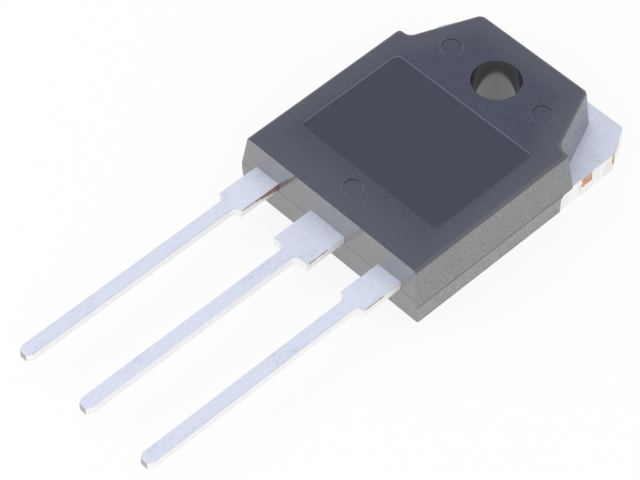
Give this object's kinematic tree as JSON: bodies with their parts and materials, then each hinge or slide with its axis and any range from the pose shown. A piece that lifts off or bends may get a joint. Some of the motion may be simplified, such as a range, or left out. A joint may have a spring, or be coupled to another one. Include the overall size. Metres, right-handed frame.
{
  "type": "power transistor",
  "caption": "Flat moulded power transistor with a bare metal back, a mounting hole in its tapered tab and a row of straight flat leads.",
  "frame": {"origin": "centre of the mounting hole on the mounting face, which is the flat metal back", "axes": "+Z out of the moulded front face, along the mounting hole; +Y towards the metal tab; the leads run to -Y, with the base lead at -X and the emitter lead at +X"},
  "size_m": [0.0158, 0.0397, 0.0045],
  "materials": {
    "moulding": "fine spark-eroded epoxy moulding, dark bluish grey",
    "tinned_copper": "matte tin plating over copper, bare copper at the cut edges",
    "silicon": "polished silicon with an aluminium top layer",
    "solder": "dull solder",
    "bond_wire": "drawn aluminium wire"
  },
  "bodies": {
    "root": {"moulded_body": "moulding", "header_with_collector_lead": "tinned_copper", "base_lead": "tinned_copper", "emitter_lead": "tinned_copper", "transistor_chip": "silicon", "chip_solder": "solder", "emitter_wire_1": "bond_wire", "emitter_wire_2": "bond_wire", "base_wire": "bond_wire"}
  },
  "joints": []
}
